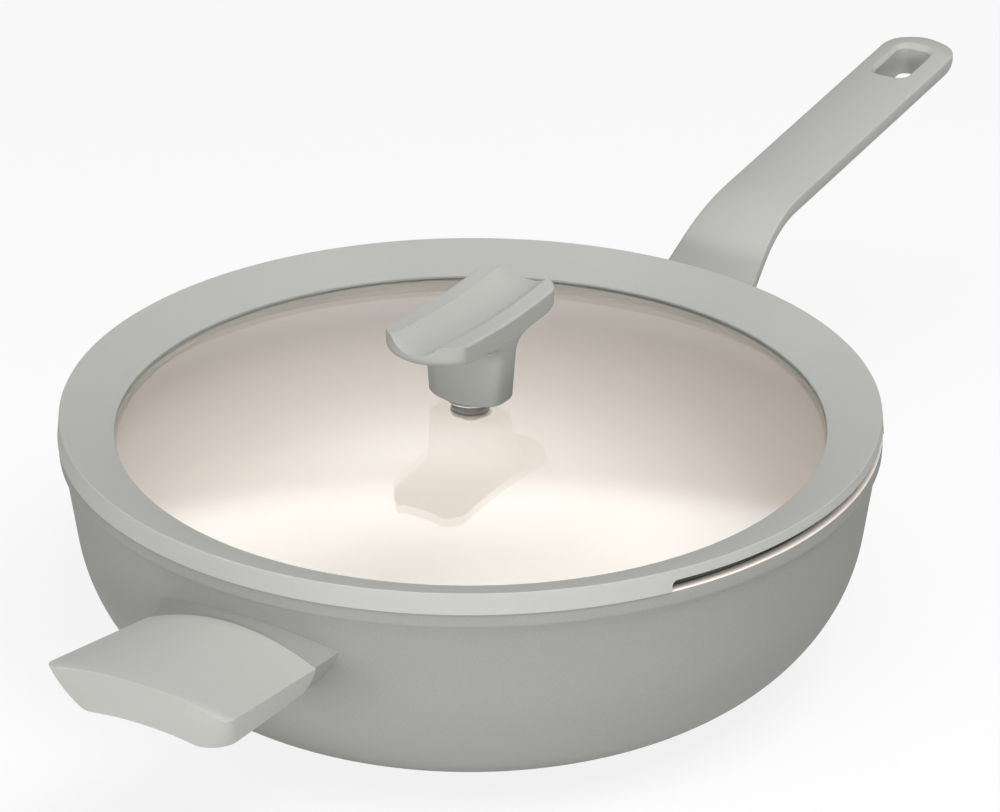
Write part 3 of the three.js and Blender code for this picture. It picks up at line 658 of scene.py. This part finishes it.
def handle_frame(distance):
    """Place at a distance from the grip's root: x along the handle, y across, z out of its top."""
    if distance <= bend_start:
        slope = HANDLE_ROOT_SLOPE
        x, z = along(slope, distance - root_distance)
    elif distance >= bend_end:
        slope = HANDLE_SLOPE
        x, z = along(slope, bend_tangent + distance - bend_end)
    else:
        slope = HANDLE_ROOT_SLOPE - (distance - bend_start) / HANDLE_BEND_RADIUS
        x = bend_centre[0] - HANDLE_BEND_RADIUS * math.sin(slope)
        z = bend_centre[1] + HANDLE_BEND_RADIUS * math.cos(slope)
    c, s = math.cos(slope), math.sin(slope)
    return Matrix(((c, 0, -s, x), (0, 1, 0, 0), (s, 0, c, z), (0, 0, 0, 1)))


def handle_section(half_width, crest, belly):
    out = []
    for i in range(24):
        y = mix(1, -1, i / 24)
        out.append((y * half_width, crest * (1 - y * y)))
    for i in range(40):
        angle = math.pi * (1 + i / 40)
        c, s = math.cos(angle), math.sin(angle)
        y = half_width * math.copysign(abs(c) ** HANDLE_BELLY_POWER, c)
        out.append((y, -belly * abs(s) ** HANDLE_BELLY_POWER))
    return out


def handle_ring(distance):
    widen = max(0.0, 1 - distance / bend_end) ** HANDLE_WIDEN_POWER
    from_tip = max(0.0, (distance - handle_length + HANDLE_TIP) / HANDLE_TIP)
    tip = max(0.0, 1 - from_tip ** HANDLE_TIP_POWER) ** (1 / HANDLE_TIP_POWER)
    half_width = mix(HANDLE_HALF_WIDTH, HANDLE_ROOT_HALF_WIDTH, widen) * tip
    belly = HANDLE_BELLY * (1 - HANDLE_TIP_THINNING * (1 - tip))
    section = handle_section(half_width, HANDLE_CREST * tip, belly)
    place_at = handle_frame(distance)
    return [tuple(place_at @ Vector((0.0, y, z))) for y, z in section]


tip_start = handle_length - HANDLE_TIP
stations = [mix(0, bend_start, i / 8) for i in range(8)]
stations += [mix(bend_start, bend_end, i / 24) for i in range(24)]
stations += [mix(bend_end, tip_start, i / 24) for i in range(24)]
stations += [tip_start + HANDLE_TIP * math.sin(i / 20 * math.pi / 2) * HANDLE_TIP_SHARE for i in range(21)]
long_grip = loft("long_grip", [handle_ring(d) for d in stations], [grip], sharp=32.0)


def rounded_rectangle(length, width, corner, steps=10):
    out = []
    for quarter, (sx, sy) in enumerate(((1, 1), (-1, 1), (-1, -1), (1, -1))):
        start = quarter * math.pi / 2
        x, y = sx * (length / 2 - corner), sy * (width / 2 - corner)
        out += arc(x, y, corner, start, start + math.pi / 2, steps)
    return out


hole_frame = handle_frame(handle_length - HOLE_TO_TIP - HOLE_LENGTH / 2)
hole_stages = [
    (-2 * HANDLE_BELLY, -HOLE_CHAMFER),
    (HANDLE_CREST - HOLE_CHAMFER, -HOLE_CHAMFER),
    (HANDLE_CREST + HOLE_CHAMFER, HOLE_CHAMFER),
]
hole_rings = []
for height, grow in hole_stages:
    outline = rounded_rectangle(HOLE_LENGTH + 2 * grow, HOLE_WIDTH + 2 * grow, HOLE_CORNER + grow)
    hole_rings.append([tuple(hole_frame @ Vector((x, y, height))) for x, y in outline])
bevel(long_grip, GRIP_BEVEL)
cut(long_grip, loft("hole_space", hole_rings, [grip]))
long_grip.modifiers.clear()
place(long_grip, "pan", "soft_grip", "long_handle_grip")


def to_wall(point, step):
    """The share of a step at which a point that moves along it comes within the wall."""
    low, high = 0.0, 1.0
    for _ in range(30):
        middle = (low + high) / 2
        spot = point + step * middle
        inside_wall = math.hypot(spot.x, spot.y) < wall_radius(spot.z) - NECK_SINK
        low, high = (low, middle) if inside_wall else (middle, high)
    return high


def neck(name, root_ring, step, flare):
    """A neck from a ring of points along a step to the pan's wall, opening out as it gets there."""
    rings = []
    for i in range(17):
        t = i / 16
        ring = []
        for spot, outward in root_ring:
            reach = to_wall(spot, step)
            ring.append(tuple(spot + step * reach * t + outward * flare * t ** 3))
        rings.append(ring)
    return loft(name, rings, [coat], sharp=40.0)


neck_section = handle_section(
    HANDLE_ROOT_HALF_WIDTH - NECK_INSET,
    HANDLE_CREST - NECK_INSET,
    HANDLE_BELLY - NECK_INSET,
)
root_frame = handle_frame(-GAP)
long_root = [(root_frame @ Vector((0.0, y, z)), Vector((0.0, 0.0, 0.0))) for y, z in neck_section]
long_step = root_frame.to_3x3() @ Vector((-LONG_NECK_STEP, 0.0, 0.0))
long_neck = neck("long_neck", long_root, long_step, 0.0)
place(long_neck, "pan", "coated_pan", "long_handle_bracket")

# Helper handle


def helper_side(t):
    """Inset and drop along the side's curve, from its upper edge to its lower one."""
    first, last = 2 * t * (1 - t), t * t
    inset, drop = HELPER_SIDE_CURVE
    return first * inset + last, first * drop + last


def helper_outline():
    """Share of the width, crown, inset, drop and hollow at each point of the section, from the +Y edge."""
    out = []
    for i in range(28):
        y = mix(1, -1, i / 28)
        out.append((y, 1 - y * y, 0.0, 0.0, 0.0))
    sides = [helper_side(i / 14) for i in range(14)]
    out += [(-1.0, 0.0, inset, drop, 0.0) for inset, drop in sides]
    for i in range(25):
        y = mix(-1, 1, i / 24)
        out.append((y, 0.0, 1.0, 1.0, 1 - y * y))
    out += [(1.0, 0.0, inset, drop, 0.0) for inset, drop in reversed(sides[1:])]
    return out


def helper_ring(share, turn, grow=0.0, lift=0.0):
    edge = mix(*HELPER_EDGES, share)
    crest = mix(*HELPER_CRESTS, share) + grow
    depth = mix(*HELPER_DEPTHS, share) - lift
    half_width = mix(*HELPER_HALF_WIDTHS, share) + grow
    ring = []
    for y, crown, inset, drop, hollow in helper_outline():
        corner = mix(*HELPER_CORNERS, drop)
        end = HELPER_RUN - HELPER_END_UNDERCUT * inset
        x = end - corner * (1 - math.sin(turn)) if turn > 0 else (end - corner) * share
        half = half_width - HELPER_UNDERCUT * inset - grow * drop - corner * (1 - math.cos(turn))
        z = edge + crest * crown - depth * drop + HELPER_HOLLOW * hollow
        ring.append((-HELPER_ROOT_X - x, y * half, z))
    return ring


helper_rings = [helper_ring(i / 20, 0.0) for i in range(21)]
helper_rings += [helper_ring(1.0, i / 10 * math.pi / 2) for i in range(1, 11)]
helper_grip = loft("helper_grip", helper_rings, [grip], sharp=32.0)
bevel(helper_grip, GRIP_BEVEL)
place(helper_grip, "pan", "soft_grip", "helper_handle_grip")

helper_root = []
inset_ring = helper_ring(0.0, 0.0, -NECK_INSET, NECK_INSET)
for (x, y, z), (_, _, _, drop, _) in zip(inset_ring, helper_outline()):
    sideways = math.copysign(1.0, y) * (1 - drop) * abs(y) / HELPER_HALF_WIDTHS[0]
    out = Vector((0.0, sideways, NECK_LIFT * (1 - drop)))
    helper_root.append((Vector((x + GAP, y, z)), out))
helper_neck = neck("helper_neck", helper_root, Vector((HELPER_NECK_STEP, 0.0, 0.0)), NECK_FLARE)
place(helper_neck, "pan", "coated_pan", "helper_handle_bracket")

# Pieces that keep their own solid

own_finishes = {
    "induction_base_plate": base_steel,
    "long_handle_screw": steel,
    "helper_handle_screw_1": steel,
    "helper_handle_screw_2": steel,
    "vent_eyelet": bright_steel,
    # The gasket and lower washer take the pale silicone, which carries painted light for their shaded faces.
    "knob_gasket": pale_silicone_with_painted_light,
    "knob_threaded_insert": brass,
    "lid_lower_washer": pale_silicone_with_painted_light,
    "lid_steel_washer": bright_steel,
    "knob_screw": bright_steel,
}
for node, material in own_finishes.items():
    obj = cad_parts[node]
    obj.data.materials.clear()
    obj.data.materials.append(material)
    bevel(obj, FIXING_BEVEL, angle=50.0, segments=2)

# Stage, light and camera

AZIMUTH = -57.0
ELEVATION = 25.544
CAMERA_DISTANCE = 2.11578
LOOK_AT = Vector((0.0, 0.0, 0.0956))
AIM_RIGHT = 0.010335
AIM_DOWN = 0.000575
AMBIENT = 0.05
MIRROR_LOW = 0.33
MIRROR_HIGH = 0.6
MIRROR_GLOW = 0.8
MIRROR_HEIGHTS = (28.0, 42.0)
GLOW_HEIGHTS = (8.0, 24.0)
GLOW_LEFT = 0.5
GLOW_AWAY = 0.87
FLOOR_HALF = 6.0
FLOOR_WHITE = 0.93
FLOOR_BOUNCE = 0.85
FLOOR_GLOW = 0.85
LAMP_TARGET = Vector((0.0, 0.0, 0.06))
PANEL_FADE = 0.28


def sine(degrees):
    return math.sin(math.radians(degrees))


def toward(turn, height):
    """Direction from the pan at an angle to the right of the camera's side and a height, in degrees."""
    a, e = math.radians(AZIMUTH + turn), math.radians(height)
    return Vector((math.sin(a) * math.cos(e), -math.cos(a) * math.cos(e), math.sin(e)))


back = toward(0.0, ELEVATION)
right = toward(90.0, 0.0)
up = back.cross(right)

camera_data = bpy.data.cameras.new("camera")
camera_data.lens = 216.0
camera_data.sensor_width = 36.0
camera = bpy.data.objects.new("camera", camera_data)
bpy.context.collection.objects.link(camera)
camera.location = LOOK_AT + back * CAMERA_DISTANCE
aim = LOOK_AT + right * AIM_RIGHT - up * AIM_DOWN
camera.rotation_euler = (aim - camera.location).to_track_quat("-Z", "Y").to_euler()
bpy.context.scene.camera = camera


def maths(tree, operation, first, second):
    """A maths node of two inputs, each a socket or a number."""
    node = tree.nodes.new("ShaderNodeMath")
    node.operation = operation
    for socket, value in zip(node.inputs, (first, second)):
        if isinstance(value, (int, float)):
            socket.default_value = value
        else:
            tree.links.new(value, socket)
    return node.outputs["Value"]


def ramped(tree, value, start, end, low, high):
    """A soft change from low to high as value runs from start to end."""
    node = tree.nodes.new("ShaderNodeMapRange")
    node.interpolation_type = "SMOOTHSTEP"
    for name, number in (("From Min", start), ("From Max", end), ("To Min", low), ("To Max", high)):
        node.inputs[name].default_value = number
    tree.links.new(value, node.inputs["Value"])
    return node.outputs["Result"]


def seen(tree, *kinds):
    """One where a ray is of one of the kinds, otherwise nought."""
    path = tree.nodes.new("ShaderNodeLightPath")
    value = path.outputs[kinds[0]]
    for kind in kinds[1:]:
        value = maths(tree, "MAXIMUM", value, path.outputs[kind])
    return value


floor_mesh = bpy.data.meshes.new("floor")
floor_corners = [(x * FLOOR_HALF, y * FLOOR_HALF, 0.0) for x, y in ((-1, -1), (1, -1), (1, 1), (-1, 1))]
floor_mesh.from_pydata(floor_corners, [], [(0, 1, 2, 3)])
floor = bpy.data.objects.new("floor", floor_mesh)
bpy.context.collection.objects.link(floor)
floor_material, tree, shader = nodes_of("pale_floor")
floor_colour = tint(tree, seen(tree, "Is Diffuse Ray"), [FLOOR_WHITE] * 3, [FLOOR_BOUNCE] * 3)
tree.links.new(floor_colour, shader.inputs["Base Color"])
shader.inputs["Roughness"].default_value = 0.9
shader.inputs["Specular IOR Level"].default_value = 0.0
white = tree.nodes.new("ShaderNodeEmission")
blend = tree.nodes.new("ShaderNodeMixShader")
straight = seen(tree, "Is Camera Ray", "Is Transmission Ray", "Is Glossy Ray")
tree.links.new(maths(tree, "MULTIPLY", straight, FLOOR_GLOW), blend.inputs["Fac"])
tree.links.new(shader.outputs["BSDF"], blend.inputs[1])
tree.links.new(white.outputs["Emission"], blend.inputs[2])
tree.links.new(blend.outputs["Shader"], tree.nodes["Material Output"].inputs["Surface"])
floor_mesh.materials.append(floor_material)

world = bpy.data.worlds.new("studio")
bpy.context.scene.world = world
world.use_nodes = True
tree = world.node_tree
coordinates = tree.nodes.new("ShaderNodeTexCoord")
direction = tree.nodes.new("ShaderNodeSeparateXYZ")
tree.links.new(coordinates.outputs["Generated"], direction.inputs["Vector"])
glow_side = back.cross(Vector((0.0, 0.0, 1.0))) * GLOW_LEFT - back * GLOW_AWAY
facing = tree.nodes.new("ShaderNodeVectorMath")
facing.operation = "DOT_PRODUCT"
facing.inputs[1].default_value = (glow_side.x, glow_side.y, 0.0)
tree.links.new(coordinates.outputs["Generated"], facing.inputs[0])
glow = ramped(tree, facing.outputs["Value"], 0.5, 1.0, 0.0, MIRROR_GLOW)
glow_start, glow_end = (sine(angle) for angle in GLOW_HEIGHTS)
low = ramped(tree, direction.outputs["Z"], glow_start, glow_end, 1.0, 0.0)
mirror_start, mirror_end = (sine(angle) for angle in MIRROR_HEIGHTS)
upper = ramped(tree, direction.outputs["Z"], mirror_start, mirror_end, MIRROR_LOW, MIRROR_HIGH)
reflected = maths(tree, "ADD", upper, maths(tree, "MULTIPLY", glow, low))
mirrored = seen(tree, "Is Glossy Ray")
straight = seen(tree, "Is Camera Ray", "Is Transmission Ray")
above = maths(tree, "SUBTRACT", reflected, AMBIENT)
soft = maths(tree, "ADD", AMBIENT, maths(tree, "MULTIPLY", mirrored, above))
level = maths(tree, "MAXIMUM", soft, straight)
tree.links.new(level, tree.nodes["Background"].inputs["Strength"])
tree.nodes["Background"].inputs["Color"].default_value = (1.0, 1.0, 1.0, 1.0)


def softbox(name, turn, height, distance, width, depth, radiance):
    """A soft panel aimed at the pan: turn is its angle from the camera's side to the right, in degrees."""
    data = bpy.data.lights.new(name, "AREA")
    data.shape = "RECTANGLE"
    data.size = width
    data.size_y = depth
    data.energy = radiance * math.pi * width * depth
    lamp = bpy.data.objects.new(name, data)
    bpy.context.collection.objects.link(lamp)
    way = toward(turn, height)
    lamp.location = LAMP_TARGET + way * distance
    lamp.rotation_euler = (-way).to_track_quat("-Z", "Y").to_euler()
    return lamp


softbox("over_front", 0.0, 66.0, 2.0, 1.2, 0.9, 3.4)
softbox("over_right", 50.0, 62.0, 2.0, 1.0, 1.0, 5.9)
softbox("over_left", -50.0, 62.0, 2.0, 1.0, 1.0, 1.4)
softbox("over", 0.0, 90.0, 1.8, 1.2, 1.2, 0.8)
softbox("low_front", 0.0, 8.0, 2.6, 1.4, 0.5, 7.9)
softbox("low_left", -40.0, 8.0, 2.2, 1.0, 0.5, 9.5)
softbox("low_right", 40.0, 8.0, 2.2, 1.0, 0.5, 2.0)
panel = softbox("panel", 180.0, 46.0, 2.2, 2.6, 0.9, 1.9)
panel.visible_diffuse = False
panel.data.use_nodes = True
tree = panel.data.node_tree
spot = tree.nodes.new("ShaderNodeSeparateXYZ")
tree.links.new(tree.nodes.new("ShaderNodeNewGeometry").outputs["Parametric"], spot.inputs["Vector"])
off_middle = maths(tree, "ABSOLUTE", maths(tree, "SUBTRACT", spot.outputs["Y"], 0.5), 0.0)
fade = ramped(tree, off_middle, PANEL_FADE, 0.5, 1.0, 0.0)
tree.links.new(fade, tree.nodes["Emission"].inputs["Strength"])

bpy.context.scene.view_settings.view_transform = "Standard"
